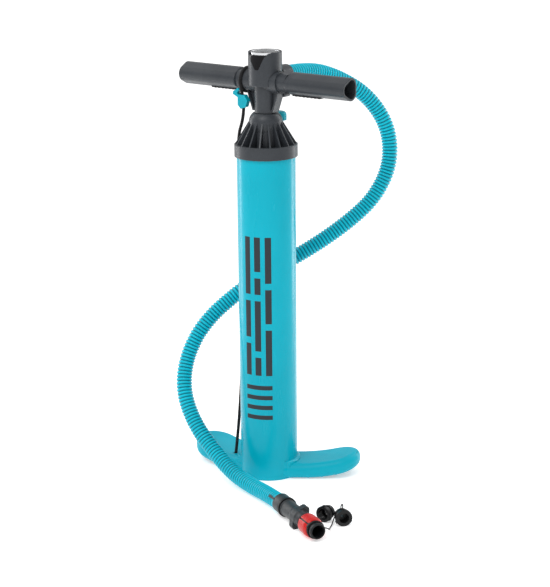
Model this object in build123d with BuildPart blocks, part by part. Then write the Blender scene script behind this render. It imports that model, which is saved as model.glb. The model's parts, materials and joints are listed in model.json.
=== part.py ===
from build123d import *
from math import cos, radians, sin, tan
import os

# Double action hand pump. Millimetres. The origin is on the barrel's axis at the floor, +Z is up,
# +X and -X point along the two foot lobes and +Y is the side to which the lobes sweep back.
# The handle is stored turned by HANDLE_YAW about the piston rod, with the piston at the bottom.

# ---- driving dimensions ----
BARREL_TOP_R = 45.0
BARREL_BOTTOM_R = 44.2
BORE_R = 41.5
BARREL_TOP_Z = 520.0
CAP_TOP_Z = 574.3
RIM_R = 48.3
GRIP_Z = 622.0
HEAD_R = 25.7
HEAD_BOTTOM_Z = 616.5
HEAD_TOP_Z = 667.5
HANDLE_HALF = 157.0
HANDLE_YAW = -16.0
ROD_R = 11.0
ROD_BORE_R = 9.0
LOBE_SWEEP = 19.0
LOBE_REACH = 107.5
LOBE_ROOT_R = 38.0
LOBE_TIP_R = 36.2
FOOT_WALL = 4.0
HOSE_R = 12.5
LEASH_R = 2.5
TETHER_R = 0.9
NOZZLE_START = (84.0, -162.0, 16.0)
NOZZLE_ANGLE = -44.4
NOZZLE_WING_TILT = 53.0
RUN_GAP = 0.06
SOFT_GAP = 0.3

os.makedirs("parts", exist_ok=True)


# ---- helpers ----
def turned(vector, angle):
    """A vector turned about the Z axis."""
    x, y, z = vector
    c, s = cos(radians(angle)), sin(radians(angle))
    return (x * c - y * s, x * s + y * c, z)


def handle_plane(origin, x_dir, z_dir):
    """A plane in the handle's frame: x along the grips, y towards the hose port."""
    return Plane(
        origin=turned(origin, HANDLE_YAW), x_dir=turned(x_dir, HANDLE_YAW), z_dir=turned(z_dir, HANDLE_YAW)
    )


def write(piece, label):
    """Labels a finished sub-part and writes its STEP file."""
    piece.part.label = label
    export_step(piece.part, f"parts/{label}.step")


def turned_solid(outline, mode=Mode.ADD, rounded=0.0):
    """Revolves a closed outline of (radius, height) points about the Z axis in the open builder."""
    with BuildSketch(Plane.XZ) as section:
        with BuildLine():
            Polyline(*outline, close=True)
        make_face()
        if rounded > 0:
            fillet(section.vertices().filter_by(lambda v: v.X > 0.1), radius=rounded)
    revolve(section.sketch, axis=Axis.Z, mode=mode)


def ring(inner, outer, low, high, mode=Mode.ADD):
    """A plain ring or disc about the Z axis."""
    turned_solid([(inner, low), (outer, low), (outer, high), (inner, high)], mode)


def o_ring(major, minor, height):
    """A round seal about the Z axis."""
    with Locations((0, 0, height)):
        Torus(major, minor)


def polar_bores(radius, count, bore_r, low, high, start=0.0):
    """Equally spaced round holes, parallel to the Z axis."""
    with PolarLocations(radius, count, start_angle=start):
        with Locations((0, 0, (low + high) / 2)):
            Cylinder(bore_r, high - low, mode=Mode.SUBTRACT)


def tube(label, points, radius):
    """A round solid along straight runs joined by the largest arcs that their lengths allow."""
    corners = [Vector(p) for p in points]
    radii = []
    for before, here, after in zip(corners, corners[1:], corners[2:]):
        turn = radians((here - before).get_angle(after - here))
        shorter = min((here - before).length, (after - here).length)
        radii.append(0.45 * shorter / tan(turn / 2))
    with BuildPart() as cord:
        with BuildLine() as route:
            FilletPolyline(*points, radius=radii)
        with BuildSketch(Plane(origin=route.line @ 0, z_dir=route.line % 0)):
            Circle(radius)
        sweep(path=route.line)
    length = sum(edge.length for edge in route.line.edges())
    share = cord.part.volume / (3.14159265 * radius ** 2 * length)
    print(label, "length", round(length, 1), "radii", [round(r) for r in radii], "volume share", round(share, 4))
    write(cord, label)


# ---- barrel and foot, one moulding ----
LOBE_TOP_Z = 24.0
LOBE_TIP_TOP_Z = 42.0
LOBE_TIP_BOTTOM_Z = 17.5
LOBE_RISE_START = 45.0
LOBE_LIFT_START = 60.0
SKIRT_R = 5.0
LOBE_END = LOBE_REACH + LOBE_TIP_R + 2
LEDGE_Z = 14.0
LEASH_HOLE = (-58.0, 0.0)


def lobe_blank(inset, height):
    """The hull of a root circle on the barrel's axis and a tip circle, as a prism from the floor."""
    with BuildSketch(Plane.XY.offset(-10)) as outline:
        Circle(LOBE_ROOT_R - inset)
        with Locations((LOBE_REACH, 0)):
            Circle(LOBE_TIP_R - inset)
        make_hull()
    extrude(outline.sketch, amount=height)


def lobe_side(drop):
    """The lobe's side outline, whose top and underside curve up towards the tip."""
    top, tip_top, bottom, tip_bottom = LOBE_TOP_Z - drop, LOBE_TIP_TOP_Z - drop, -drop, LOBE_TIP_BOTTOM_Z - drop
    with BuildSketch(Plane.XZ) as side:
        with BuildLine():
            Polyline((LOBE_LIFT_START, bottom), (-60, bottom), (-60, top), (LOBE_RISE_START, top))
            TangentArc((LOBE_RISE_START, top), (LOBE_END, tip_top), tangent=(1, 0))
            Line((LOBE_END, tip_top), (LOBE_END, tip_bottom))
            TangentArc((LOBE_LIFT_START, bottom), (LOBE_END, tip_bottom), tangent=(1, 0))
        make_face()
    extrude(side.sketch, amount=60, both=True, mode=Mode.INTERSECT)


with BuildPart() as lobe:
    lobe_blank(0, 60)
    lobe_side(0)
    upper_rim = lobe.edges().filter_by(lambda e: e.center().Z > 15 and e.center().X > -20)
    fillet(upper_rim, radius=10)

with BuildPart() as lobe_hollow:
    lobe_blank(FOOT_WALL, 60)
    lobe_side(FOOT_WALL)
    ring(0, BARREL_BOTTOM_R + 4, -20, 60, mode=Mode.SUBTRACT)
    with Locations((62, 0, 0), (84, 0, 0), (106, 0, 0)):
        Box(2.5, 90, 80, mode=Mode.SUBTRACT)
    with Locations((90, 0, 0)):
        Box(110, 2.5, 80, mode=Mode.SUBTRACT)

with BuildPart() as fillet_skirt:
    lobe_blank(1, 80)
    with BuildSketch(Plane.XZ) as skirt:
        with BuildLine():
            Line((40, 15), (40, 40))
            Line((40, 40), (BARREL_BOTTOM_R, LOBE_TOP_Z + SKIRT_R))
            RadiusArc((BARREL_BOTTOM_R, LOBE_TOP_Z + SKIRT_R), (BARREL_BOTTOM_R + SKIRT_R, LOBE_TOP_Z), SKIRT_R)
            Line((BARREL_BOTTOM_R + SKIRT_R, LOBE_TOP_Z), (BARREL_BOTTOM_R + SKIRT_R, 15))
            Line((BARREL_BOTTOM_R + SKIRT_R, 15), (40, 15))
        make_face()
    revolve(skirt.sketch, axis=Axis.Z, mode=Mode.INTERSECT)

right_lobe = lobe.part.rotate(Axis.Z, LOBE_SWEEP)
right_hollow = lobe_hollow.part.rotate(Axis.Z, LOBE_SWEEP)
right_skirt = fillet_skirt.part.rotate(Axis.Z, LOBE_SWEEP)

with BuildPart() as barrel:
    turned_solid([(0, 0), (BARREL_BOTTOM_R, 0), (BARREL_BOTTOM_R, 30), (BARREL_TOP_R, BARREL_TOP_Z), (0, BARREL_TOP_Z)])
    for piece in (right_lobe, right_skirt):
        add(piece)
        add(piece.mirror(Plane.YZ))
    for piece in (right_hollow, right_hollow.mirror(Plane.YZ)):
        add(piece, mode=Mode.SUBTRACT)
    ring(0, BORE_R, -1, LEDGE_Z, mode=Mode.SUBTRACT)
    ring(0, BORE_R - 3.5, -1, 40, mode=Mode.SUBTRACT)
    ring(0, BORE_R, LEDGE_Z + 4, BARREL_TOP_Z + 1, mode=Mode.SUBTRACT)
    ring(BORE_R - 1, BORE_R + 0.8, 3.0, 4.6, mode=Mode.SUBTRACT)
    with Locations((LEASH_HOLE[0], LEASH_HOLE[1], 20)):
        Cylinder(LEASH_R + 1, 20, mode=Mode.SUBTRACT)
    for angle in (LOBE_SWEEP, 180 - LOBE_SWEEP):
        with PolarLocations(BARREL_BOTTOM_R, 1, start_angle=angle):
            Box(14, 30, 5, mode=Mode.SUBTRACT)
write(barrel, "barrel_and_foot")

# ---- intake plate in the bottom of the barrel ----
with BuildPart() as intake_grid:
    ring(0, BORE_R - 0.1, 5, LEDGE_Z)
    ring(0, 12, 0, 5)
    ring(0, 3, LEDGE_Z, 19)
    ring(BORE_R - 2.9, BORE_R, 8.5, 11.5, mode=Mode.SUBTRACT)
    polar_bores(21, 8, 4.5, 4, 15)
    polar_bores(33, 12, 2.2, 4, 8)
write(intake_grid, "intake_grid")

with BuildPart() as intake_seal:
    o_ring(BORE_R - 1.45, 1.4, 10)
write(intake_seal, "intake_seal")

with BuildPart() as intake_circlip:
    ring(BORE_R - 3, BORE_R + 0.7, 3.2, 4.4)
    with Locations((0, 42, 4)):
        Box(16, 12, 4, mode=Mode.SUBTRACT)
write(intake_circlip, "intake_circlip")

with BuildPart() as intake_flap:
    turned_solid([(3.3, 14.1), (28, 14.1), (30, 14.6), (30, 15.1), (3.3, 15.7)])
write(intake_flap, "intake_flap")

with BuildPart() as flap_keeper:
    ring(3, 8, 17.4, 19.4)
    fillet(flap_keeper.edges().group_by(Axis.Z)[-1].sort_by(SortBy.RADIUS)[-1], radius=1.2)
write(flap_keeper, "flap_keeper")

# ---- cap: skirt, ribbed cone and collar, one moulding ----
RIM_LOW_Z = 508.0
RIM_HIGH_Z = 526.5
RIB_COUNT = 18
RIB_THICKNESS = 2.2
KNOB_REACH = 36.5
KNOB_R = 12.5
KNOB_ANGLE = 80.0
BUSH_R = 15.0

with BuildPart() as cap:
    turned_solid(
        [
            (0, BARREL_TOP_Z), (45.2, BARREL_TOP_Z), (45.2, RIM_LOW_Z), (RIM_R, RIM_LOW_Z + 0.2),
            (RIM_R, RIM_HIGH_Z), (RIM_R - 1.3, RIM_HIGH_Z + 1), (43.5, RIM_HIGH_Z + 1), (43.5, RIM_HIGH_Z - 2), (0, RIM_HIGH_Z - 2),
        ]
    )
    ring(37, 41.3, 506, BARREL_TOP_Z + 1)
    turned_solid([(0, 524), (27.5, 524), (26, 548), (0, 548)])
    with BuildSketch(Plane.XZ) as collar:
        with BuildLine():
            Polyline((0, 545), (24.5, 545), (26, 556), (25.6, 561))
            ThreePointArc((25.6, 561), (24.2, 567.5), (19, CAP_TOP_Z))
            Polyline((19, CAP_TOP_Z), (0, CAP_TOP_Z), (0, 545))
        make_face()
    revolve(collar.sketch, axis=Axis.Z)
    with BuildSketch(Plane.XZ) as rib:
        with BuildLine():
            Polyline((24, 523), (46.8, 523), (46.8, RIM_HIGH_Z + 0.8), (25.9, 561), (22, 561), (24, 545), close=True)
        make_face()
    for index in range(RIB_COUNT):
        extrude(rib.sketch.rotate(Axis.Z, index * 360 / RIB_COUNT), amount=RIB_THICKNESS / 2, both=True)
    with PolarLocations(KNOB_REACH, 1, start_angle=KNOB_ANGLE):
        with Locations((0, 0, 540)):
            Cylinder(7.5, 32)
        with Locations((0, 0, 567)):
            Cylinder(KNOB_R + 0.8, 22, mode=Mode.SUBTRACT)
        with Locations((0, 0, 542)):
            Cylinder(4.5, 32, mode=Mode.SUBTRACT)
        with Locations((-2, 0, 520)):
            Cylinder(1.2, 20, mode=Mode.SUBTRACT)
    ring(0, BUSH_R, 546, 572, mode=Mode.SUBTRACT)
    ring(0, ROD_R + 1, 510, 600, mode=Mode.SUBTRACT)
    ring(0, 24, 510, 540, mode=Mode.SUBTRACT)
    polar_bores(30.5, RIB_COUNT, 2.0, 510, 530, start=10)
    ring(39, 42, 511, 514, mode=Mode.SUBTRACT)
write(cap, "cap")

with BuildPart() as cap_seal:
    o_ring(40.25, 1.2, 512.5)
write(cap_seal, "cap_seal")

with BuildPart() as rod_bush:
    ring(ROD_R + RUN_GAP, BUSH_R, 546, 564)
write(rod_bush, "rod_bush")

with BuildPart() as rod_wiper:
    turned_solid([(ROD_R + RUN_GAP, 564), (BUSH_R, 564), (BUSH_R, 572), (ROD_R + 1.5, 572), (ROD_R + RUN_GAP, 568.5)])
write(rod_wiper, "rod_wiper")

with BuildPart() as cap_flap:
    ring(26, 33.2, 518.3, 519.9)
write(cap_flap, "cap_flap")

with BuildPart() as cap_flap_keeper:
    ring(32.2, 37, 514.5, 516.3)
write(cap_flap_keeper, "cap_flap_keeper")

# ---- knob that opens the upper chamber for single action ----
with BuildPart() as mode_knob:
    with Locations((KNOB_REACH, 0, 557.6)):
        Cylinder(KNOB_R, 13.4, align=(Align.CENTER, Align.CENTER, Align.MIN))
    fillet(mode_knob.edges().group_by(Axis.Z)[-1], radius=5.5)
    with Locations((KNOB_REACH, 0, 564)):
        with PolarLocations(KNOB_R + 0.4, 16):
            Cylinder(0.9, 16, mode=Mode.SUBTRACT)
    with Locations((KNOB_REACH, 0, 528)):
        Cylinder(4.2, 30, align=(Align.CENTER, Align.CENTER, Align.MIN))
mode_knob.part = mode_knob.part.rotate(Axis.Z, KNOB_ANGLE)
write(mode_knob, "mode_knob")

# ---- piston and its valves ----
PISTON_Z = 22.0
SEAL_HEIGHTS = (34.5, 52.5)
UPPER_PLATE_Z = 55.0

with BuildPart() as piston_base:
    ring(0, 40.5, PISTON_Z, 28)
    ring(0, 33.9, 28, 31)
    ring(0, 4, 31, 34.4)
    ring(0, 6, 34.4, 36)
    polar_bores(14, 6, 4, 20, 32)
    polar_bores(35.8, 3, 1.45, 20, 30)
    polar_bores(35.8, 3, 3.05, 20, 24)
write(piston_base, "piston_base")

with BuildPart() as piston_body:
    ring(34, 40.9, 28, 60)
    ring(14, 40.9, UPPER_PLATE_Z, 60)
    ring(ROD_R, 16, 44, 68)
    for height in SEAL_HEIGHTS:
        ring(38.2, 42, height - 1.5, height + 1.5, mode=Mode.SUBTRACT)
    ring(39.9, 42, 39.5, 47.5, mode=Mode.SUBTRACT)
    ring(16, 35, 60 - 2, 61, mode=Mode.SUBTRACT)
    with PolarLocations(25.5, 8):
        with Locations((0, 0, 59)):
            Box(20.4, 2, 2)
    polar_bores(25.5, 8, 3.5, 54, 61, start=22.5)
    polar_bores(35.8, 3, 1.4, 27, 33)
    with Locations((0, 0, 64)):
        Cylinder(2, 40, rotation=(90, 0, 0), mode=Mode.SUBTRACT)
write(piston_body, "piston_body")

with BuildPart() as piston_seals:
    for height in SEAL_HEIGHTS:
        o_ring(39.75, 1.45, height)
write(piston_seals, "piston_seals")

with BuildPart() as wear_band:
    ring(39.9, BORE_R - SOFT_GAP, 39.6, 47.4)
write(wear_band, "wear_band")

with BuildPart() as lower_valve:
    ring(4.3, 22, 31.1, 32.7)
write(lower_valve, "lower_valve")

with BuildPart() as upper_valve:
    ring(18, 32.5, 53.3, 54.9)
write(upper_valve, "upper_valve")

with BuildPart() as valve_clip:
    ring(16, 20, 49.5, 51.5)
write(valve_clip, "valve_clip")

with BuildPart() as piston_screws:
    with PolarLocations(35.8, 3):
        with Locations((0, 0, PISTON_Z + 1)):
            Cylinder(3, 2)
        with Locations((0, 0, 28)):
            Cylinder(1.4, 9)
write(piston_screws, "piston_screws")

with BuildPart() as piston_pin:
    with Locations((0, 0, 64)):
        Cylinder(2, 31, rotation=(90, 0, 0))
write(piston_pin, "piston_pin")

with BuildPart() as rod:
    ring(ROD_BORE_R, ROD_R, 44, 612)
    with Locations((0, 0, 64)):
        Cylinder(2, 40, rotation=(90, 0, 0), mode=Mode.SUBTRACT)
write(rod, "piston_rod")

# ---- handle: neck, root bar and hose port, one moulding ----
NECK_BOTTOM_Z = CAP_TOP_Z + 0.6
ROOT_R = 14.2
ROOT_HALF = 78.0
STUB_R = 12.4
COLLAR_R = 17.0
COLLAR_HALF = 31.0
PORT_Z = 627.0
PORT_END = 46.0
GRIP_START = 47.0
EYELETS = ((39.0, 605.5), (-41.5, 605.5))
ACROSS = handle_plane((0, 0, 0), (1, 0, 0), (0, -1, 0))
ALONG = handle_plane((0, 0, GRIP_Z), (0, 1, 0), (1, 0, 0))
PORT = handle_plane((0, 0, PORT_Z), (1, 0, 0), (0, 1, 0))


def gusset(inset, offset):
    """The webs under the root bar, tapering to the neck, drawn offset mm in front of the rod."""
    with BuildSketch(handle_plane((0, -offset, 0), (1, 0, 0), (0, -1, 0))) as web:
        for side in (1, -1):
            with BuildLine():
                Polyline(
                    (side * 8, 577 + inset), (side * (19.5 - inset), 577 + inset), (side * (28 - inset), 601),
                    (side * (31 - inset), 612 - inset), (side * 8, 612 - inset), close=True,
                )
            make_face()
    return web.sketch


with BuildPart() as handle_core:
    extrude(gusset(0, 0), amount=7.5, both=True)
    for front in (9.5, -9.5):
        extrude(gusset(2.4, front), amount=7.5, both=True, mode=Mode.SUBTRACT)
    turned_solid([(0, NECK_BOTTOM_Z), (16.2, NECK_BOTTOM_Z), (17.2, 616), (17.2, 643), (0, 643)])
    for radius, reach in ((STUB_R, ROOT_HALF), (ROOT_R, GRIP_START - 0.5)):
        with BuildSketch(ALONG) as bar:
            Circle(radius)
        extrude(bar.sketch, amount=reach, both=True)
    with BuildSketch(ALONG) as collars:
        Circle(COLLAR_R)
    extrude(collars.sketch, amount=COLLAR_HALF, both=True)
    with BuildSketch(PORT) as port:
        Circle(12)
    extrude(port.sketch, amount=PORT_END)
    with BuildSketch(ACROSS) as eyelets:
        with Locations(*EYELETS):
            Circle(3.8)
    extrude(eyelets.sketch, amount=6, both=True)
    with BuildSketch(ACROSS) as eyes:
        with Locations(*EYELETS):
            Circle(1.8)
    extrude(eyes.sketch, amount=10, both=True, mode=Mode.SUBTRACT)
    for side in (1, -1):
        with BuildSketch(handle_plane((side * (ROOT_HALF + 1), 0, GRIP_Z), (0, 1, 0), (-side, 0, 0))) as hollow:
            Circle(STUB_R - 3)
        extrude(hollow.sketch, amount=ROOT_HALF - 24, mode=Mode.SUBTRACT)
    ring(0, ROD_R, 570, 612, mode=Mode.SUBTRACT)
    ring(0, ROD_BORE_R, 611, 638, mode=Mode.SUBTRACT)
    ring(0, 2, 630, 650, mode=Mode.SUBTRACT)
    with BuildSketch(PORT) as airway:
        Circle(8.5)
    extrude(airway.sketch, amount=60, mode=Mode.SUBTRACT)
write(handle_core, "handle_core")

# ---- grips, hollow and open at their ends ----
GRIP_WALL = 3.0


def grip_section(side, start, wall):
    """The grip's rounded three-cornered section, its nose towards the front."""
    with BuildSketch(handle_plane((side * start, 0, GRIP_Z), (0, 1, 0), (side, 0, 0))) as section:
        with Locations((4.5, 5), (4.5, -5), (-4.8, 0)):
            Circle(12.2 - wall)
        make_hull()
    return section.sketch


for side, name in ((-1, "left"), (1, "right")):
    with BuildPart() as grip:
        extrude(grip_section(side, GRIP_START, 0), amount=HANDLE_HALF - GRIP_START)
        along = Axis(turned((0, 0, GRIP_Z), HANDLE_YAW), turned((side, 0, 0), HANDLE_YAW))
        fillet(grip.faces().sort_by(along)[0].edges(), radius=2.6)
        fillet(grip.faces().sort_by(along)[-1].edges(), radius=0.9)
        extrude(grip_section(side, ROOT_HALF + 2, GRIP_WALL), amount=HANDLE_HALF, mode=Mode.SUBTRACT)
        with BuildSketch(ALONG) as socket:
            Circle(STUB_R)
        extrude(socket.sketch, amount=ROOT_HALF + 3, both=True, mode=Mode.SUBTRACT)
        slot_plane = handle_plane((side * 78, 3, GRIP_Z - 16.2), (1, 0, 0), (0, 0, 1))
        with BuildSketch(slot_plane) as slot:
            Rectangle(53, 8)
        extrude(slot.sketch, amount=3, both=True, mode=Mode.SUBTRACT)
    write(grip, f"grip_{name}")

    with BuildPart() as insert:
        with BuildSketch(slot_plane.offset(0.4)) as strip:
            Rectangle(52.6, 7.6)
        extrude(strip.sketch, amount=-2.2)
        with BuildSketch(slot_plane.offset(-1)) as bumps:
            with GridLocations(7, 1, 7, 1):
                Circle(2.1)
        extrude(bumps.sketch, amount=-1.6)
    write(insert, f"grip_insert_{name}")

# ---- gauge head ----
WINDOW_YAW = HANDLE_YAW + 6.0
GAUGE_Z = 646.0
LENS_R = 20.4
PANEL_TOP_Z = 663.5


def window_solid(inner, outer, margin, top):
    """The shield-shaped window at the front of the head, as a piece of a thin cylindrical wall."""
    plane = Plane(origin=(0, 0, 0), x_dir=turned((1, 0, 0), WINDOW_YAW), z_dir=turned((0, -1, 0), WINDOW_YAW))
    with BuildSketch(plane) as shield:
        with BuildLine():
            Polyline(
                (-2.4, 641.6), (-18, 667.2), (-18, 680), (19.5, 680), (19.5, 667), (12.3, 660.8), (3.6, 641.6),
                close=True,
            )
        make_face()
        fillet(shield.vertices().filter_by(lambda v: v.Y < 650), radius=3)
        fillet(shield.vertices().filter_by(lambda v: 655 < v.Y < 664), radius=8)
        offset(amount=margin)
        with Locations((0, top - 50)):
            Rectangle(100, 100, mode=Mode.INTERSECT)
    with BuildPart() as wall:
        extrude(shield.sketch, amount=40)
        with BuildSketch(Plane.XY.offset(600)) as band:
            Circle(outer)
            Circle(inner, mode=Mode.SUBTRACT)
        extrude(band.sketch, amount=100, mode=Mode.INTERSECT)
    return wall.part


with BuildPart() as gauge_housing:
    turned_solid(
        [
            (17.3, HEAD_BOTTOM_Z), (HEAD_R - 0.5, HEAD_BOTTOM_Z), (HEAD_R, HEAD_BOTTOM_Z + 0.8),
            (HEAD_R, HEAD_TOP_Z - 0.8), (HEAD_R - 0.8, HEAD_TOP_Z), (22.8, HEAD_TOP_Z), (22.8, 645), (17.3, 645),
        ]
    )
    with BuildSketch(ALONG) as arches:
        Circle(COLLAR_R + 0.5)
    extrude(arches.sketch, amount=40, both=True, mode=Mode.SUBTRACT)
    with BuildSketch(PORT) as port_arch:
        Circle(12.5)
    extrude(port_arch.sketch, amount=40, mode=Mode.SUBTRACT)
    with BuildSketch(handle_plane((0, 0, HEAD_TOP_Z - 1.6), (1, 0, 0), (0, 0, 1))) as notch:
        with PolarLocations(HEAD_R - 1, 1, start_angle=45):
            Rectangle(5, 3)
    extrude(notch.sketch, amount=4, mode=Mode.SUBTRACT)
    add(window_solid(HEAD_R - 3.5, HEAD_R + 2, 0.15, HEAD_TOP_Z + 2), mode=Mode.SUBTRACT)
write(gauge_housing, "gauge_housing")

with BuildPart() as window_panel:
    add(window_solid(22.6, HEAD_R - 0.3, 0, PANEL_TOP_Z))
write(window_panel, "window_panel")

with BuildPart() as gauge_case:
    ring(1.6, 22.6, GAUGE_Z, GAUGE_Z + 3)
    ring(21.2, 22.6, GAUGE_Z + 3, 657)
    ring(1.6, 5, 643, GAUGE_Z)
    ring(1.0, 3, GAUGE_Z + 3, 657)
write(gauge_case, "gauge_case")

with BuildPart() as gauge_dial:
    ring(1.2, 21.0, 657.2, 658.2)
write(gauge_dial, "gauge_dial")

with BuildPart() as needle_pin:
    ring(0, 0.9, 650, 661.4)
write(needle_pin, "needle_pin")

NEEDLE_YAW = HANDLE_YAW - 135.0

with BuildPart() as gauge_needle:
    ring(0.97, 2.6, 659.2, 660.4)
    with BuildSketch(Plane.XY.offset(659.4)) as blade:
        with BuildLine():
            Polyline((2, -0.9), (16.5, -0.25), (16.5, 0.25), (2, 0.9), close=True)
        make_face()
        with BuildLine():
            Polyline((-2, -1.1), (-6, -1.4), (-6, 1.4), (-2, 1.1), close=True)
        make_face()
    extrude(blade.sketch, amount=0.6)
gauge_needle.part = gauge_needle.part.rotate(Axis.Z, NEEDLE_YAW)
write(gauge_needle, "gauge_needle")

LENS_DOME_R = 56.7
LENS_DOME_Z = 612.9

with BuildPart() as lens_inside:
    ring(0, LENS_R - 1.4, 660, 672)
    with Locations((0, 0, LENS_DOME_Z)):
        Sphere(LENS_DOME_R - 1.5, mode=Mode.INTERSECT)

with BuildPart() as gauge_lens:
    ring(0, LENS_R, 663.6, 672)
    with Locations((0, 0, LENS_DOME_Z)):
        Sphere(LENS_DOME_R, mode=Mode.INTERSECT)
    add(lens_inside.part, mode=Mode.SUBTRACT)
write(gauge_lens, "gauge_lens")

with BuildPart() as gauge_bezel:
    turned_solid(
        [(21.2, 657.2), (22.6, 657.2), (22.6, 666.4), (21.8, 667.2), (LENS_R, 666.4), (LENS_R, 662.4), (21.2, 662.4)]
    )
write(gauge_bezel, "gauge_bezel")

# ---- hose and its cuff on the handle ----
CUFF_START = 29.0
CUFF_END = 53.0

with BuildPart() as hose_head_cuff:
    with BuildSketch(PORT.offset(CUFF_START)) as sleeve:
        Circle(14.8)
        Circle(12, mode=Mode.SUBTRACT)
    extrude(sleeve.sketch, amount=CUFF_END - CUFF_START)
    outward = Axis(turned((0, 0, PORT_Z), HANDLE_YAW), turned((0, 1, 0), HANDLE_YAW))
    fillet(hose_head_cuff.faces().sort_by(outward)[-1].edges().sort_by(SortBy.LENGTH)[-1], radius=1.4)
    with BuildSketch(PORT.offset(PORT_END)) as seat:
        Circle(HOSE_R + SOFT_GAP)
    extrude(seat.sketch, amount=20, mode=Mode.SUBTRACT)
write(hose_head_cuff, "hose_head_cuff")


def nozzle_plane(distance):
    """A plane across the nozzle, at a distance along it from the start of its cuff."""
    angle = radians(NOZZLE_ANGLE)
    x, y, z = NOZZLE_START
    return Plane(
        origin=(x + distance * cos(angle), y + distance * sin(angle), z),
        x_dir=(-sin(angle), cos(angle), 0), z_dir=(cos(angle), sin(angle), 0),
    )


def nozzle_point(distance):
    """A point on the nozzle's axis."""
    return tuple(nozzle_plane(distance).origin)


HOSE_STOP = 9.2
hose_route = [
    turned((0, PORT_END + SOFT_GAP, PORT_Z), HANDLE_YAW),
    turned((0, PORT_END + 60, PORT_Z + 0.5), HANDLE_YAW),
    (57, 158, 609),
    (97, 194, 575),
    (126, 209, 523),
    (130, 206, 464),
    (109, 188, 412),
    (72, 162, 374),
    (25, 128, 338),
    (-28, 94, 306),
    (-80, 61, 269),
    (-121, 29, 226),
    (-140, 2, 178),
    (-138, -22, 127),
    (-111, -41, 81),
    (-70, -58, 44),
    (-28, -80, 20),
    (14, -105, 13),
    (53, -133.5, 14.4),
    nozzle_point(HOSE_STOP),
]
tube("hose", hose_route, HOSE_R)


# ---- nozzle ----
def nozzle_turned(outline, mode=Mode.ADD):
    """Revolves a closed outline of (distance, radius) points about the nozzle's axis."""
    base = nozzle_plane(0)
    with BuildSketch(Plane(origin=base.origin, x_dir=base.z_dir, z_dir=base.x_dir)) as section:
        with BuildLine():
            Polyline(*outline, close=True)
        make_face()
    revolve(section.sketch, axis=Axis(base.origin, base.z_dir), mode=mode)


with BuildPart() as hose_end_cuff:
    nozzle_turned([(0, 13.1), (0, 13.9), (1, 14.6), (18, 14.6), (19, 14.0), (19, 12.4), (10.2, 12.4), (10.2, 13.1)])
    with BuildSketch(nozzle_plane(-13)) as tab:
        with Locations((-11.9, 7.8)):
            Rectangle(4.4, 4.4, rotation=57)
    extrude(tab.sketch, amount=16, taper=4)
    nozzle_turned([(-20, 0), (-20, 13.1), (5, 13.1), (5, 0)], mode=Mode.SUBTRACT)
write(hose_end_cuff, "hose_end_cuff")

with BuildPart() as cuff_band:
    nozzle_turned([(19, 12.4), (19, 14.9), (20, 15.3), (24, 15.3), (25, 14.9), (25, 12.4)])
write(cuff_band, "cuff_band")

with BuildPart() as nozzle_body:
    nozzle_turned(
        [
            (10.2, 8), (10.2, 12.4), (25.2, 12.4), (25.2, 13.4), (28, 13.4),
            (30, 12.8), (56, 12.4), (60, 13.2), (74, 13.2), (78, 12.4), (88, 11.6), (88, 8),
        ]
    )
    with BuildSketch(nozzle_plane(61)) as wings:
        Circle(12.8)
        with Locations(Location((0, 0, 0), (0, 0, NOZZLE_WING_TILT))):
            with Locations((14.2, 0), (-14.2, 0)):
                Circle(5.4)
        make_hull()
    extrude(wings.sketch, amount=11)
    nozzle_turned([(9, 0), (9, 8), (90, 8), (90, 0)], mode=Mode.SUBTRACT)
write(nozzle_body, "nozzle_body")

with BuildPart() as nozzle_seal:
    nozzle_turned([(88, 8), (88, 13.4), (91.5, 13.4), (91.5, 8)])
write(nozzle_seal, "nozzle_seal")

with BuildPart() as nozzle_tip:
    nozzle_turned(
        [
            (91.5, 8), (91.5, 11.6), (119.5, 11.6), (119.5, 12.8), (122.6, 12.8),
            (122.6, 12), (131, 12), (132, 11.3), (132, 9.5), (124, 8),
        ]
    )
    for turn in (NOZZLE_WING_TILT + 90, NOZZLE_WING_TILT + 270):
        with BuildSketch(nozzle_plane(119.6)) as lug:
            with Locations(Location((0, 0, 0), (0, 0, turn))):
                with Locations((12.4, 0)):
                    Rectangle(3.6, 7)
        extrude(lug.sketch, amount=3)
write(nozzle_tip, "nozzle_tip")

LOCK_SPLIT_ANGLE = 138.0

with BuildPart() as lock_ring:
    nozzle_turned([(92, 11.68), (92, 13.9), (95, 15.4), (113, 15.6), (117, 14.6), (119, 13.2), (119, 11.68)])
    with BuildSketch(nozzle_plane(91)) as split:
        with Locations(Location((0, 0, 0), (0, 0, LOCK_SPLIT_ANGLE))):
            with Locations((14, 0)):
                Rectangle(8, 2.2)
    extrude(split.sketch, amount=30, mode=Mode.SUBTRACT)
write(lock_ring, "lock_ring")


# ---- two spare valve adaptors on a tether ----
def adaptor(label, mouth, heading, outer, bore, length, back_bore_r, back_length):
    """A short stepped tube with lugs. heading is the way from its mouth to its back."""
    mouth_plane = Plane(origin=mouth, x_dir=(sin(radians(heading)), -cos(radians(heading)), 0),
                        z_dir=(cos(radians(heading)), sin(radians(heading)), 0))
    with BuildPart() as body:
        for start, depth, radius in ((0, length, outer - 3), (0, 6, outer), (length * 0.62, 3, outer - 1.6)):
            with BuildSketch(mouth_plane.offset(start)) as step:
                Circle(radius)
            extrude(step.sketch, amount=depth)
        for turn in (30, 150, 270):
            with BuildSketch(mouth_plane.offset(1.5)) as lug:
                with Locations(Location((0, 0, 0), (0, 0, turn))):
                    with Locations((outer - 0.6, 0)):
                        Rectangle(3.4, 3.6)
            extrude(lug.sketch, amount=4)
        with BuildSketch(mouth_plane) as mouth_bore:
            Circle(bore)
        extrude(mouth_bore.sketch, amount=length - back_length, mode=Mode.SUBTRACT)
        with BuildSketch(mouth_plane) as back_bore:
            Circle(back_bore_r)
        extrude(back_bore.sketch, amount=length + 1, mode=Mode.SUBTRACT)
    write(body, label)


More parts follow.
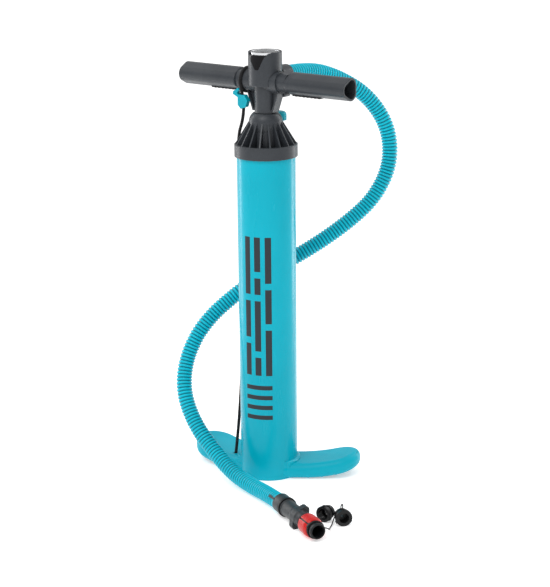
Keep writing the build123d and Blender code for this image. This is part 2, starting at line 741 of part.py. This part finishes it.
adaptor("adaptor_wide", (157.0, -178.4, 12.3), 75.0, 12.2, 8.4, 18.0, 5.4, 5.0)
adaptor("adaptor_narrow", (192.3, -183.1, 12.7), 127.0, 12.6, 7.6, 18.0, 2.0, 8.0)

with BuildPart() as adaptor_strap:
    with BuildSketch(Plane.XY.offset(8)) as link:
        with Locations((171.8, -164.6)):
            Rectangle(6, 5, rotation=-21)
    extrude(link.sketch, amount=5)
    with Locations(Location((185.0, -173.4, 25.9), (0, 90, 37))):
        Torus(4.2, 0.9)
write(adaptor_strap, "adaptor_strap")

tether_route = [
    (180.7, -236.2, 16.2),
    (184.2, -230.0, 13.2),
    (182.6, -220.0, 7.6),
    (178.4, -209.0, 3.0),
    (175.4, -197.5, 1.2),
    (174.2, -186.0, 1.5),
    (172.2, -175.5, 4.0),
    (171.8, -167.4, 8.4),
]
tube("adaptor_tether", tether_route, TETHER_R)

# ---- elastic leash from the left lobe to the handle ----
HOOK_Y = -12.5
LEASH_TOP = (-32.0, HOOK_Y, 590.0)
LOOP_REACH = 34.5
LOOP_TAIL = (-LOOP_REACH, HOOK_Y, 594.0)
leash_route = [
    (-58.0, 0.0, 19.0),
    (-54.0, 9.5, 80.0),
    (-51.0, 19.0, 200.0),
    (-51.0, 22.0, 370.0),
    (-54.5, 15.5, 528.0),
    turned((LEASH_TOP[0], HOOK_Y, 566.0), HANDLE_YAW),
    turned(LEASH_TOP, HANDLE_YAW),
]
tube("leash_cord", leash_route, LEASH_R)

with BuildPart() as leash_knot:
    with Locations((-58, 0, 14)):
        Sphere(5)
    with Locations((-58, 0, 24)):
        Box(12, 12, 10, mode=Mode.SUBTRACT)
write(leash_knot, "leash_knot")

with BuildPart() as leash_loop:
    with Locations(handle_plane((-LOOP_REACH, 0, GRIP_Z), (0, 1, 0), (1, 0, 0)).location):
        Torus(ROOT_R + LEASH_R + 0.2, LEASH_R)
    with BuildSketch(handle_plane(LOOP_TAIL, (1, 0, 0), (0, 0, 1))) as tail:
        Circle(LEASH_R)
    extrude(tail.sketch, amount=16.5)
write(leash_loop, "leash_loop")

with BuildPart() as leash_hook:
    with BuildSketch(handle_plane((0, HOOK_Y, 0), (1, 0, 0), (0, -1, 0))) as outline:
        with BuildLine():
            Polyline(
                (-28, 600), (-22.5, 592), (-26, 582), (-35, 578.5), (-41, 584), (-41, 596), (-50, 600),
                (-50, 604), (-40, 610.5), (-38, 607.5), (-43, 602), (-39.5, 600), close=True,
            )
        make_face()
        fillet(outline.vertices(), radius=1.1)
    extrude(outline.sketch, amount=3.8, both=True)
    with BuildSketch(handle_plane(LEASH_TOP, (1, 0, 0), (0, 0, -1))) as cord_bore:
        Circle(LEASH_R + SOFT_GAP)
    extrude(cord_bore.sketch, amount=20, mode=Mode.SUBTRACT)
    with BuildSketch(handle_plane(LOOP_TAIL, (1, 0, 0), (0, 0, 1))) as tail_bore:
        Circle(LEASH_R)
    extrude(tail_bore.sketch, amount=20, mode=Mode.SUBTRACT)
write(leash_hook, "leash_hook")
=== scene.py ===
import json
import math

import bpy
import numpy as np
from mathutils import Matrix, Vector


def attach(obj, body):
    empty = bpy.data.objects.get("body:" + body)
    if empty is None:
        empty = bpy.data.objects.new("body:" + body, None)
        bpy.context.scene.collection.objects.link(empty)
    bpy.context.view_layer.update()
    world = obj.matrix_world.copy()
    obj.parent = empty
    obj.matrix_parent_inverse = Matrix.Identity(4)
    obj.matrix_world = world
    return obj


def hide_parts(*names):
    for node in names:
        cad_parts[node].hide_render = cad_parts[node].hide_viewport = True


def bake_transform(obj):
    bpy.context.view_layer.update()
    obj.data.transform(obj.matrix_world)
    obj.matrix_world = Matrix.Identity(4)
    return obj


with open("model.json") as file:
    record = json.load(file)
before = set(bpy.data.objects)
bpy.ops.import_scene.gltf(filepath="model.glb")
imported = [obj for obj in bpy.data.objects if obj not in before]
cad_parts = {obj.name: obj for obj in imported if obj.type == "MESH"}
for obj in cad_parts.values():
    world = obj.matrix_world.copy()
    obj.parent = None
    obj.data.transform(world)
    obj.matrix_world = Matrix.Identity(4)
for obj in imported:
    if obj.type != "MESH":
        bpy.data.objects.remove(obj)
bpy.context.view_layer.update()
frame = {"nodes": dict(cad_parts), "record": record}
nodes = frame["nodes"]

# ---- camera, from the photograph's angle ----
AZIMUTH = math.radians(22.0)
PITCH = math.radians(14.69)
ROLL = math.radians(-0.57)

forward = Vector((-math.sin(AZIMUTH) * math.cos(PITCH), math.cos(AZIMUTH) * math.cos(PITCH), -math.sin(PITCH)))
rightward = Vector((math.cos(AZIMUTH), math.sin(AZIMUTH), 0))
upward = rightward.cross(forward)
camera_data = bpy.data.cameras.new("camera")
camera_data.lens = 122.66
camera_data.sensor_width = 36
camera_data.clip_end = 60
camera = bpy.data.objects.new("camera", camera_data)
turn = Matrix((rightward, upward, -forward)).transposed() @ Matrix.Rotation(ROLL, 3, "Z")
camera.matrix_world = Matrix.Translation((1.1322, -2.7717, 1.076)) @ turn.to_4x4()
bpy.context.scene.collection.objects.link(camera)
bpy.context.scene.camera = camera
bpy.context.scene.view_settings.view_transform = "Standard"

HANDLE_YAW = math.radians(-16.0)


def in_handle(x, y, z):
    """A point of the handle's own frame, in millimetres, as a point of the row frame in metres."""
    c, s = math.cos(HANDLE_YAW), math.sin(HANDLE_YAW)
    return Vector(((x * c - y * s) / 1000, (x * s + y * c) / 1000, z / 1000))


# ---- node materials ----
class Shader:
    """A Principled material whose patterns are built from nodes in the piece's own coordinates."""

    def __init__(self, name, roughness, metallic=0.0, specular=0.5, sheen=0.0):
        self.material = bpy.data.materials.new(name)
        self.material.use_nodes = True
        self.tree = self.material.node_tree
        self.principled = self.tree.nodes["Principled BSDF"]
        self.principled.inputs["Roughness"].default_value = roughness
        self.principled.inputs["Metallic"].default_value = metallic
        self.principled.inputs["Specular IOR Level"].default_value = specular
        self.principled.inputs["Sheen Weight"].default_value = sheen
        self.place = self.tree.nodes.new("ShaderNodeTexCoord").outputs["Object"]

    def link(self, source, target):
        self.tree.links.new(source, target)

    def math(self, operation, *values, clamp=False):
        node = self.tree.nodes.new("ShaderNodeMath")
        node.operation = operation
        node.use_clamp = clamp
        for socket, value in zip(node.inputs, values):
            if isinstance(value, (int, float)):
                socket.default_value = value
            else:
                self.link(value, socket)
        return node.outputs[0]

    def split(self, vector=None):
        node = self.tree.nodes.new("ShaderNodeSeparateXYZ")
        self.link(vector or self.place, node.inputs[0])
        return node.outputs

    def from_axis(self, x, y):
        """The distance from the barrel's axis."""
        return self.math("SQRT", self.math("ADD", self.math("MULTIPLY", x, x), self.math("MULTIPLY", y, y)))

    def stretch(self, x, y, z):
        node = self.tree.nodes.new("ShaderNodeMapping")
        node.inputs["Scale"].default_value = (x, y, z)
        self.link(self.place, node.inputs["Vector"])
        return node.outputs["Vector"]

    def noise(self, scale, detail=3.0, roughness=0.55, vector=None):
        node = self.tree.nodes.new("ShaderNodeTexNoise")
        node.inputs["Scale"].default_value = scale
        node.inputs["Detail"].default_value = detail
        node.inputs["Roughness"].default_value = roughness
        self.link(vector or self.place, node.inputs["Vector"])
        return node.outputs["Fac"]

    def spread(self, value, low, high, start=0.0, end=1.0):
        node = self.tree.nodes.new("ShaderNodeMapRange")
        node.interpolation_type = "SMOOTHSTEP"
        node.inputs["From Min"].default_value = low
        node.inputs["From Max"].default_value = high
        node.inputs["To Min"].default_value = start
        node.inputs["To Max"].default_value = end
        self.link(value, node.inputs["Value"])
        return node.outputs["Result"]

    def mix(self, amount, first, second):
        node = self.tree.nodes.new("ShaderNodeMix")
        node.data_type = "RGBA"
        self.link(amount, node.inputs["Factor"])
        for socket, colour in ((node.inputs[6], first), (node.inputs[7], second)):
            if isinstance(colour, tuple):
                socket.default_value = (*colour, 1)
            else:
                self.link(colour, socket)
        return node.outputs[2]

    def colour(self, output):
        self.link(output, self.principled.inputs["Base Color"])

    def rough(self, output):
        self.link(output, self.principled.inputs["Roughness"])

    def bump(self, height, distance, strength=1.0):
        node = self.tree.nodes.new("ShaderNodeBump")
        node.inputs["Distance"].default_value = distance
        node.inputs["Strength"].default_value = strength
        self.link(height, node.inputs["Height"])
        self.link(node.outputs["Normal"], self.principled.inputs["Normal"])


def moulded(name, light, dark, roughness, grain, grain_height, specular=0.5):
    """A moulded plastic: slow colour drift, a fine grain and faint wipe marks in its gloss."""
    shader = Shader(name, roughness, specular=specular)
    drift = shader.noise(14, 4)
    speck = shader.noise(grain * 0.35, 2)
    blend = shader.math("ADD", shader.math("MULTIPLY", drift, 0.7), shader.math("MULTIPLY", speck, 0.3))
    shader.colour(shader.mix(shader.spread(blend, 0.3, 0.7), dark, light))
    wipes = shader.noise(5, 5, 0.65, shader.stretch(9, 9, 1.5))
    shader.rough(shader.spread(wipes, 0.3, 0.75, roughness - 0.05, roughness + 0.09))
    shader.bump(shader.noise(grain, 3), grain_height, 0.6)
    return shader.material


PRINT_MIDDLE = math.radians(2)
PRINT_RADIUS_MM = 44.8


def barrel_plastic():
    """Glossy moulded plastic with a plain printed pattern of bars, painted shade darkening it towards the
    bottom, and a grained foot.
    """
    shader = Shader("barrel_teal", 0.24, specular=0.16)
    x, y, z = shader.split()
    drift = shader.noise(9, 4)
    teal = shader.mix(shader.spread(drift, 0.3, 0.7), (0.0, 0.365, 0.475), (0.0, 0.40, 0.52))
    # painted shade: the teal is mixed towards a darker teal towards the bottom of the barrel and over the foot
    low = shader.spread(z, 0.0, 0.26, 1.0, 0.0)
    teal = shader.mix(shader.math("MULTIPLY", low, 0.35), teal, (0.0, 0.335, 0.435))
    angle = shader.math("ARCTAN2", x, shader.math("MULTIPLY", y, -1))
    around = shader.math("MULTIPLY", shader.math("SUBTRACT", angle, PRINT_MIDDLE), PRINT_RADIUS_MM)
    height = shader.math("MULTIPLY", z, 1000)

    def inside(value, low_edge, high_edge):
        """1 between two edges, with an edge 0.25 mm soft."""
        rise = shader.spread(value, low_edge - 0.12, low_edge + 0.12)
        fall = shader.spread(value, high_edge - 0.12, high_edge + 0.12, 1.0, 0.0)
        return shader.math("MULTIPLY", rise, fall)

    def block(left, right, bottom, top):
        return shader.math("MULTIPLY", inside(around, left, right), inside(height, bottom, top))

    blocks = [
        (-22, -12, 300, 390), (-5, 5, 336, 390), (12, 22, 318, 390), (-5, 5, 300, 326),
        (-22, -12, 232, 290), (-5, 5, 210, 290), (12, 22, 254, 308), (12, 22, 171, 244),
        (-22, -12, 171, 222), (-5, 5, 171, 200),
        (-22, 22, 148, 155), (-22, 22, 132, 139), (-22, 22, 116, 123), (-22, 22, 100, 107),
    ]
    ink = block(*blocks[0])
    for edges in blocks[1:]:
        ink = shader.math("ADD", ink, block(*edges))
    radius = shader.from_axis(x, y)
    ink = shader.math("MULTIPLY", ink, shader.spread(radius, 0.0425, 0.0435), clamp=True)
    shader.colour(shader.mix(ink, teal, (0.028, 0.034, 0.04)))
    foot = shader.spread(radius, 0.047, 0.052)
    foot = shader.math("MULTIPLY", foot, shader.spread(z, 0.05, 0.06, 1.0, 0.0))
    wipes = shader.noise(4, 5, 0.65, shader.stretch(7, 7, 1.2))
    gloss = shader.spread(wipes, 0.3, 0.75, 0.19, 0.30)
    gloss = shader.math("ADD", gloss, shader.math("MULTIPLY", foot, 0.16))
    gloss = shader.math("ADD", gloss, shader.math("MULTIPLY", ink, 0.07))
    shader.rough(gloss)
    grain = shader.math("MULTIPLY", shader.noise(1500, 2), shader.math("ADD", 0.12, foot))
    grain = shader.math("ADD", grain, shader.math("MULTIPLY", ink, 0.25))
    shader.bump(grain, 0.00012, 0.5)
    return shader.material


def hose_plastic():
    """Ribbed hose: painted shade darkens the grooves, and the ribs are glossy."""
    shader = Shader("hose_teal", 0.32, specular=0.18)
    groove = shader.tree.nodes.new("ShaderNodeAttribute")
    groove.attribute_name = "groove"
    drift = shader.noise(12, 4)
    teal = shader.mix(shader.spread(drift, 0.3, 0.7), (0.0, 0.43, 0.56), (0.0, 0.49, 0.63))
    # painted shade: the groove amount mixes the teal towards a dark teal in the grooves
    shade = shader.math("MULTIPLY", groove.outputs["Fac"], 0.9)
    shader.colour(shader.mix(shade, teal, (0.0, 0.12, 0.165)))
    shader.rough(shader.spread(shader.noise(40, 4), 0.3, 0.7, 0.26, 0.40))
    shader.bump(shader.noise(900, 2), 0.00008, 0.4)
    return shader.material


def metal(name, colour, dark, roughness, stretch=(1, 1, 60)):
    """Drawn or turned metal, with fine marks along or around it."""
    shader = Shader(name, roughness, metallic=1.0)
    lines = shader.noise(220, 3, 0.6, shader.stretch(*stretch))
    shader.colour(shader.mix(shader.spread(lines, 0.3, 0.7), dark, colour))
    shader.rough(shader.spread(lines, 0.25, 0.75, roughness - 0.05, roughness + 0.12))
    shader.bump(lines, 0.00004, 0.3)
    return shader.material


def rubber(name):
    """Soft black rubber with a fine matt skin."""
    shader = Shader(name, 0.65, specular=0.35)
    dust = shader.noise(60, 5)
    shader.colour(shader.mix(shader.spread(dust, 0.35, 0.75), (0.010, 0.010, 0.011), (0.024, 0.024, 0.026)))
    shader.rough(shader.spread(shader.noise(260, 3), 0.3, 0.7, 0.55, 0.75))
    shader.bump(shader.noise(1400, 2), 0.0001, 0.5)
    return shader.material


def cord_fabric():
    """Braided cord, with painted shade darkening it between its strands."""
    shader = Shader("braided_black", 0.75, specular=0.15, sheen=0.08)
    groove = shader.tree.nodes.new("ShaderNodeAttribute")
    groove.attribute_name = "groove"
    fibre = shader.noise(1800, 3, 0.7)
    thread = shader.mix(shader.spread(fibre, 0.3, 0.7), (0.008, 0.008, 0.009), (0.022, 0.022, 0.024))
    # painted shade: the groove amount mixes the thread towards near black between the strands
    shader.colour(shader.mix(groove.outputs["Fac"], thread, (0.004, 0.004, 0.004)))
    shader.bump(fibre, 0.00015, 0.7)
    return shader.material


def lens_glass():
    """A clear moulded lens, with light wear in its gloss."""
    shader = Shader("lens_clear", 0.03, specular=0.2)
    shader.principled.inputs["Transmission Weight"].default_value = 1.0
    shader.principled.inputs["IOR"].default_value = 1.49
    haze = shader.noise(30, 5, 0.7)
    shader.colour(shader.mix(shader.spread(haze, 0.3, 0.7), (0.42, 0.44, 0.46), (0.5, 0.52, 0.54)))
    shader.rough(shader.spread(haze, 0.35, 0.8, 0.02, 0.09))
    return shader.material


def dial_print():
    """A dark dial with a slightly lighter ring for its scale."""
    shader = Shader("dial_face", 0.5, specular=0.4)
    x, y, z = shader.split()
    radius = shader.from_axis(x, y)
    outer_edge = shader.spread(radius, 0.0189, 0.0191, 1.0, 0.0)
    band = shader.math("MULTIPLY", shader.spread(radius, 0.0133, 0.0135), outer_edge)
    paint = shader.noise(700, 3)
    base = shader.mix(shader.spread(paint, 0.3, 0.7), (0.020, 0.022, 0.025), (0.030, 0.032, 0.036))
    shader.colour(shader.mix(band, base, (0.055, 0.06, 0.066)))
    shader.bump(paint, 0.00004, 0.4)
    return shader.material


materials = {
    "teal_gloss": barrel_plastic(),
    "teal_hose": hose_plastic(),
    "graphite": moulded("graphite", (0.040, 0.045, 0.052), (0.028, 0.032, 0.038), 0.38, 1300, 0.00012, 0.32),
    "black_plastic": moulded(
        "black_plastic", (0.009, 0.010, 0.011), (0.005, 0.005, 0.006), 0.34, 1300, 0.0001, 0.22,
    ),
    "window_black": moulded(
        "window_black", (0.006, 0.006, 0.007), (0.003, 0.003, 0.004), 0.16, 500, 0.00002, 0.14,
    ),
    "red_ring": moulded("red_ring", (0.56, 0.009, 0.007), (0.46, 0.006, 0.005), 0.26, 900, 0.00006, 0.28),
    "clear_lens": lens_glass(),
    "bezel_chrome": metal("bezel_chrome", (0.80, 0.81, 0.83), (0.68, 0.69, 0.71), 0.14, (1, 1, 1)),
    "dial_dark": dial_print(),
    "needle_orange": moulded("needle_orange", (0.86, 0.13, 0.02), (0.75, 0.10, 0.015), 0.35, 900, 0.00005),
    "rod_aluminium": metal("rod_aluminium", (0.77, 0.78, 0.80), (0.64, 0.65, 0.67), 0.26),
    "steel": metal("steel", (0.62, 0.62, 0.63), (0.46, 0.46, 0.47), 0.34, (1, 1, 1)),
    "seal_rubber": rubber("seal_rubber"),
    "bush_white": moulded("bush_white", (0.74, 0.73, 0.69), (0.66, 0.65, 0.61), 0.45, 900, 0.00008),
    "leash_black": cord_fabric(),
}
hook_teal = moulded("hook_teal", (0.002, 0.36, 0.46), (0.001, 0.30, 0.39), 0.34, 900, 0.00008, 0.2)
nozzle_grey = moulded("nozzle_grey", (0.030, 0.034, 0.037), (0.020, 0.023, 0.026), 0.34, 1200, 0.0001, 0.24)
scale_white = moulded("scale_white", (0.82, 0.83, 0.82), (0.72, 0.73, 0.72), 0.5, 900, 0.00003)

for part in frame["record"]["subparts"]:
    mesh = nodes[part["node"]].data
    mesh.materials.clear()
    mesh.materials.append(materials[part["material_slot"]])
for name in ("leash_hook", "mode_knob"):
    nodes[name].data.materials[0] = hook_teal
for name in ("nozzle_body", "hose_end_cuff"):
    nodes[name].data.materials[0] = nozzle_grey


# ---- cords ----
def spline_line(route, resolution=24):
    """The points of the NURBS spline whose control points are the route, given in metres."""
    curve = bpy.data.curves.new("route", "CURVE")
    curve.dimensions = "3D"
    curve.resolution_u = resolution
    spline = curve.splines.new("NURBS")
    spline.points.add(len(route) - 1)
    for point, place in zip(spline.points, route):
        point.co = (*place, 1)
    spline.order_u = 3
    spline.use_endpoint_u = True
    holder = bpy.data.objects.new("route", curve)
    bpy.context.scene.collection.objects.link(holder)
    bpy.context.view_layer.update()
    line = bpy.data.meshes.new_from_object(holder)
    points = np.array([vertex.co[:] for vertex in line.vertices])
    bpy.data.objects.remove(holder)
    bpy.data.meshes.remove(line)
    bpy.data.curves.remove(curve)
    return points


def along(points, distances):
    """Places and directions at distances along a line."""
    steps = np.linalg.norm(np.diff(points, axis=0), axis=1)
    reach = np.concatenate([[0], np.cumsum(steps)])
    places = np.stack([np.interp(distances, reach, points[:, k]) for k in range(3)], 1)
    later, earlier = np.minimum(distances + 1e-3, reach[-1]), np.maximum(distances - 1e-3, 0)
    ahead = np.stack([np.interp(later, reach, points[:, k]) for k in range(3)], 1)
    behind = np.stack([np.interp(earlier, reach, points[:, k]) for k in range(3)], 1)
    ways = ahead - behind
    return places, ways / np.linalg.norm(ways, axis=1)[:, None]


def total(points):
    return float(np.linalg.norm(np.diff(points, axis=0), axis=1).sum())


def tube_mesh(name, points, distances, radius_at, segments, material):
    """A tube along a line. radius_at gives a ring's radii and groove amounts from its distance and angles."""
    places, ways = along(points, np.asarray(distances))
    side = np.cross(ways[0], (0.3, 0.2, 1.0))
    side /= np.linalg.norm(side)
    angles = np.arange(segments) * 2 * math.pi / segments
    vertices, grooves = [], []
    for place, way, distance in zip(places, ways, distances):
        side = side - way * (side @ way)
        side /= np.linalg.norm(side)
        other = np.cross(way, side)
        radii, groove = radius_at(distance, angles)
        ring = place + (np.cos(angles) * radii)[:, None] * side + (np.sin(angles) * radii)[:, None] * other
        vertices.extend(ring.tolist())
        grooves.extend(np.broadcast_to(groove, angles.shape).tolist())
    faces = []
    rings = len(places)
    for i in range(rings - 1):
        for k in range(segments):
            a, b = i * segments + k, i * segments + (k + 1) % segments
            faces.append((a, b, b + segments, a + segments))
    faces.append(tuple(reversed(range(segments))))
    faces.append(tuple(range((rings - 1) * segments, rings * segments)))
    mesh = bpy.data.meshes.new(name)
    mesh.from_pydata(vertices, [], faces)
    mesh.attributes.new("groove", "FLOAT", "POINT").data.foreach_set("value", np.array(grooves, np.float32))
    mesh.shade_smooth()
    mesh.materials.append(material)
    piece = bpy.data.objects.new(name, mesh)
    bpy.context.scene.collection.objects.link(piece)
    return piece


NOZZLE_START = (84, -162, 16)
NOZZLE_ANGLE = math.radians(-44.4)


def nozzle_point(distance, across=0.0, up=0.0):
    """A point of the nozzle's own frame, in millimetres, as a point of the row frame in metres."""
    c, s = math.cos(NOZZLE_ANGLE), math.sin(NOZZLE_ANGLE)
    x = NOZZLE_START[0] + distance * c - across * s
    y = NOZZLE_START[1] + distance * s + across * c
    return Vector((x / 1000, y / 1000, (NOZZLE_START[2] + up) / 1000))


def metres(route):
    return [Vector(point) / 1000 for point in route]


hose_route = [
    in_handle(0, 46.3, 627),
    in_handle(0, 106, 627.5),
    *metres([
        (57, 158, 609), (97, 194, 575), (126, 209, 523), (130, 206, 464), (109, 188, 412), (72, 162, 374),
        (25, 128, 338), (-28, 94, 306), (-80, 61, 269), (-121, 29, 226), (-140, 2, 178), (-138, -22, 127),
        (-111, -41, 81), (-70, -58, 44), (-28, -80, 20), (14, -105, 13), (53, -133.5, 14.4),
    ]),
    nozzle_point(9.2),
]
HOSE_PITCH = 0.0054
HOSE_GROOVE_R = 0.0108
HOSE_RIB_RISE = 0.0017
HOSE_PLAIN_END = 0.010
hose_line = spline_line(hose_route)
hose_length = total(hose_line)
ridge_shape = ((0.0, 0.0), (0.16, 0.0), (0.28, 0.7), (0.42, 1.0), (0.74, 1.0), (0.88, 0.7))
plain_start, plain_end = HOSE_PLAIN_END, hose_length - HOSE_PLAIN_END
ridge_count = int((plain_end - plain_start) / HOSE_PITCH)
hose_stations, hose_heights = [0.0, plain_start - 0.0005], [1.0, 1.0]
for ridge in range(ridge_count):
    for share, rise in ridge_shape:
        hose_stations.append(plain_start + (ridge + share) * HOSE_PITCH)
        hose_heights.append(rise)
hose_stations += [plain_start + ridge_count * HOSE_PITCH, hose_length]
hose_heights += [1.0, 1.0]
hose_rise = dict(zip(hose_stations, hose_heights))


def hose_radius(distance, angles):
    rise = hose_rise[distance]
    return np.full(angles.shape, HOSE_GROOVE_R + HOSE_RIB_RISE * rise), 1.0 - rise


hose = tube_mesh("hose_ribbed", hose_line, hose_stations, hose_radius, 32, materials["teal_hose"])
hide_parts("hose")
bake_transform(hose)

leash_route = [
    *metres([(-58, 0, 19), (-54, 9.5, 80), (-51, 19, 200), (-51, 22, 370), (-54.5, 15.5, 528)]),
    in_handle(-32, -12.5, 566),
    in_handle(-32, -12.5, 590),
]
leash_line = spline_line(leash_route)
leash_length = total(leash_line)


def braid_radius(base, relief, twist, strands):
    """Crossing strands raised on a round cord."""

    def radius(distance, angles):
        left = np.abs(np.sin(strands / 2 * angles + distance * twist))
        right = np.abs(np.sin(strands / 2 * angles - distance * twist))
        raised = np.maximum(left, right)
        return base - relief * (1 - raised), np.clip((1 - raised) * 2.0, 0, 1)

    return radius


LEASH_BRAID = braid_radius(0.0025, 0.00035, 900, 8)
LOOP_BRAID = braid_radius(0.0032, 0.00045, 700, 8)
TETHER_BRAID = braid_radius(0.0009, 0.00012, 2000, 4)
cord_black = materials["leash_black"]

leash = tube_mesh("leash_braid", leash_line, np.linspace(0, leash_length, 560), LEASH_BRAID, 20, cord_black)
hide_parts("leash_cord")
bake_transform(leash)

LOOP_X, LOOP_R = -34.5, 17.4
loop_line = np.array([
    in_handle(
        LOOP_X + 0.8 * math.sin(2 * t), -LOOP_R * math.cos(t), 622 + LOOP_R * math.sin(t)
    )[:] for t in np.linspace(0, 2 * math.pi, 121)
])
loop_rings = np.linspace(0, total(loop_line) - 1e-6, 122)
loop = tube_mesh("leash_loop_braid", loop_line, loop_rings, LOOP_BRAID, 20, cord_black)
tail_line = spline_line([
    in_handle(LOOP_X, -12.5, 594), in_handle(LOOP_X, -12.8, 600), in_handle(LOOP_X, -14.6, 607),
    in_handle(LOOP_X, -16.6, 615), in_handle(LOOP_X, -16.9, 622),
])
tail_rings = np.linspace(0, total(tail_line), 30)
tail = tube_mesh("leash_tail_braid", tail_line, tail_rings, LEASH_BRAID, 20, cord_black)
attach(loop, "handle")
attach(tail, "handle")
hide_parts("leash_loop")

tether_route = metres([
    (180.7, -236.2, 16.2), (184.2, -230, 13.2), (182.6, -220, 7.6), (178.4, -209, 3), (175.4, -197.5, 1.2),
    (174.2, -186, 1.5), (172.2, -175.5, 4), (171.8, -167.4, 8.4),
])
tether_line = spline_line(tether_route)
tether_length = total(tether_line)
tether = tube_mesh("tether_line", tether_line, np.linspace(0, tether_length, 150), TETHER_BRAID, 12, cord_black)
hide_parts("adaptor_tether")
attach(tether, "barrel")

BAND_S, BAND_R = 123.6, 12.95
band_line = np.array([
    nozzle_point(BAND_S, BAND_R * math.cos(t), BAND_R * math.sin(t))[:] for t in np.linspace(0, 2 * math.pi, 97)
])
band = tube_mesh(
    "tether_ring", band_line, np.linspace(0, total(band_line) - 1e-6, 98), TETHER_BRAID, 12, cord_black,
)
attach(band, "nozzle")

# ---- gauge scale ----
DIAL_TOP = 0.65825
PRINT_HEIGHT = 0.00012
TICK_END = 0.0184


def scale_place(share, radius):
    angle = HANDLE_YAW - math.radians(135 + 270 * share)
    return Vector((radius * math.cos(angle), radius * math.sin(angle), DIAL_TOP)), angle


tick_vertices, tick_faces = [], []
for index in range(41):
    major = index % 10 == 0
    medium = index % 5 == 0
    inner = 0.0148 if major else 0.0158 if medium else 0.0168
    half = 0.00034 if major else 0.00022 if medium else 0.00014
    near, angle = scale_place(index / 40, inner)
    far = scale_place(index / 40, TICK_END)[0]
    across = Vector((-math.sin(angle), math.cos(angle), 0)) * half
    base = len(tick_vertices)
    corners = (near - across, far - across, far + across, near + across)
    for lift in (0, PRINT_HEIGHT):
        tick_vertices += [(corner + Vector((0, 0, lift)))[:] for corner in corners]
    tick_faces += [(base + 3, base + 2, base + 1, base), (base + 4, base + 5, base + 6, base + 7)]
    tick_faces += [(base + k, base + (k + 1) % 4, base + 4 + (k + 1) % 4, base + 4 + k) for k in range(4)]
tick_mesh = bpy.data.meshes.new("dial_ticks")
tick_mesh.from_pydata(tick_vertices, [], tick_faces)
tick_mesh.materials.append(scale_white)
ticks = bpy.data.objects.new("dial_ticks", tick_mesh)
bpy.context.scene.collection.objects.link(ticks)
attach(ticks, "handle")

for index in range(5):
    place, angle = scale_place(index / 4, 0.0117)
    text = bpy.data.curves.new(f"dial_number_{index}", "FONT")
    text.body = str(index * 5)
    text.size = 0.0036
    text.extrude = PRINT_HEIGHT / 2
    text.align_x = "CENTER"
    text.align_y = "CENTER"
    holder = bpy.data.objects.new("number_holder", text)
    bpy.context.scene.collection.objects.link(holder)
    bpy.context.view_layer.update()
    number_mesh = bpy.data.meshes.new_from_object(holder)
    bpy.data.objects.remove(holder)
    raised = Matrix.Translation(place + Vector((0, 0, PRINT_HEIGHT / 2)))
    number_mesh.transform(raised @ Matrix.Rotation(HANDLE_YAW, 4, "Z"))
    number_mesh.materials.clear()
    number_mesh.materials.append(scale_white)
    number = bpy.data.objects.new(f"dial_number_{index}", number_mesh)
    bpy.context.scene.collection.objects.link(number)
    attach(number, "handle")

# ---- floor and light ----
floor_mesh = bpy.data.meshes.new("floor")
floor_mesh.from_pydata([(-30, -30, 0), (30, -30, 0), (30, 30, 0), (-30, 30, 0)], [], [(0, 1, 2, 3)])
floor_shader = Shader("floor_pale", 0.7, specular=0.1)
floor_tone = floor_shader.noise(1.5, 3)
floor_shader.colour(floor_shader.mix(floor_tone, (0.86, 0.86, 0.86), (0.88, 0.88, 0.88)))
floor_shader.principled.inputs["Emission Color"].default_value = (1, 1, 1, 1)
floor_shader.principled.inputs["Emission Strength"].default_value = 0.42
floor_mesh.materials.append(floor_shader.material)
floor = bpy.data.objects.new("floor", floor_mesh)
bpy.context.scene.collection.objects.link(floor)

world = bpy.data.worlds.new("studio")
world.use_nodes = True
world_tree = world.node_tree
sky = world_tree.nodes.new("ShaderNodeMapRange")
sky.interpolation_type = "SMOOTHSTEP"
for socket, value in (("From Min", 0.0), ("From Max", 0.65), ("To Min", 0.34), ("To Max", 0.95)):
    sky.inputs[socket].default_value = value
sky_split = world_tree.nodes.new("ShaderNodeSeparateXYZ")
sky_place = world_tree.nodes.new("ShaderNodeTexCoord")
world_tree.links.new(sky_place.outputs["Generated"], sky_split.inputs[0])
world_tree.links.new(sky_split.outputs["Z"], sky.inputs["Value"])
world_tree.links.new(sky.outputs["Result"], world_tree.nodes["Background"].inputs["Strength"])
world_tree.nodes["Background"].inputs["Color"].default_value = (1, 1, 1, 1)
bpy.context.scene.world = world


def panel(name, place, aim, width, height, power):
    """A soft rectangular light that the camera doesn't see."""
    data = bpy.data.lights.new(name, "AREA")
    data.shape = "RECTANGLE"
    data.size = width
    data.size_y = height
    data.energy = power
    light = bpy.data.objects.new(name, data)
    light.location = place
    light.rotation_euler = (Vector(aim) - Vector(place)).to_track_quat("-Z", "Y").to_euler()
    light.visible_camera = False
    bpy.context.scene.collection.objects.link(light)


def seen_from_camera(across, depth, height):
    """A place given as metres to the camera's right, behind the barrel and above the floor."""
    c, s = math.cos(AZIMUTH), math.sin(AZIMUTH)
    return (across * c - depth * s, across * s + depth * c, height)


panel("key", seen_from_camera(-0.9, -1.6, 2.4), (0, 0, 0.3), 1.4, 1.4, 26)
panel("edge_left", seen_from_camera(-0.75, 0.45, 0.55), (0, 0, 0.35), 0.16, 1.1, 3.2)
panel("edge_right", seen_from_camera(0.75, 0.45, 0.55), (0, 0, 0.35), 0.16, 1.1, 3.2)
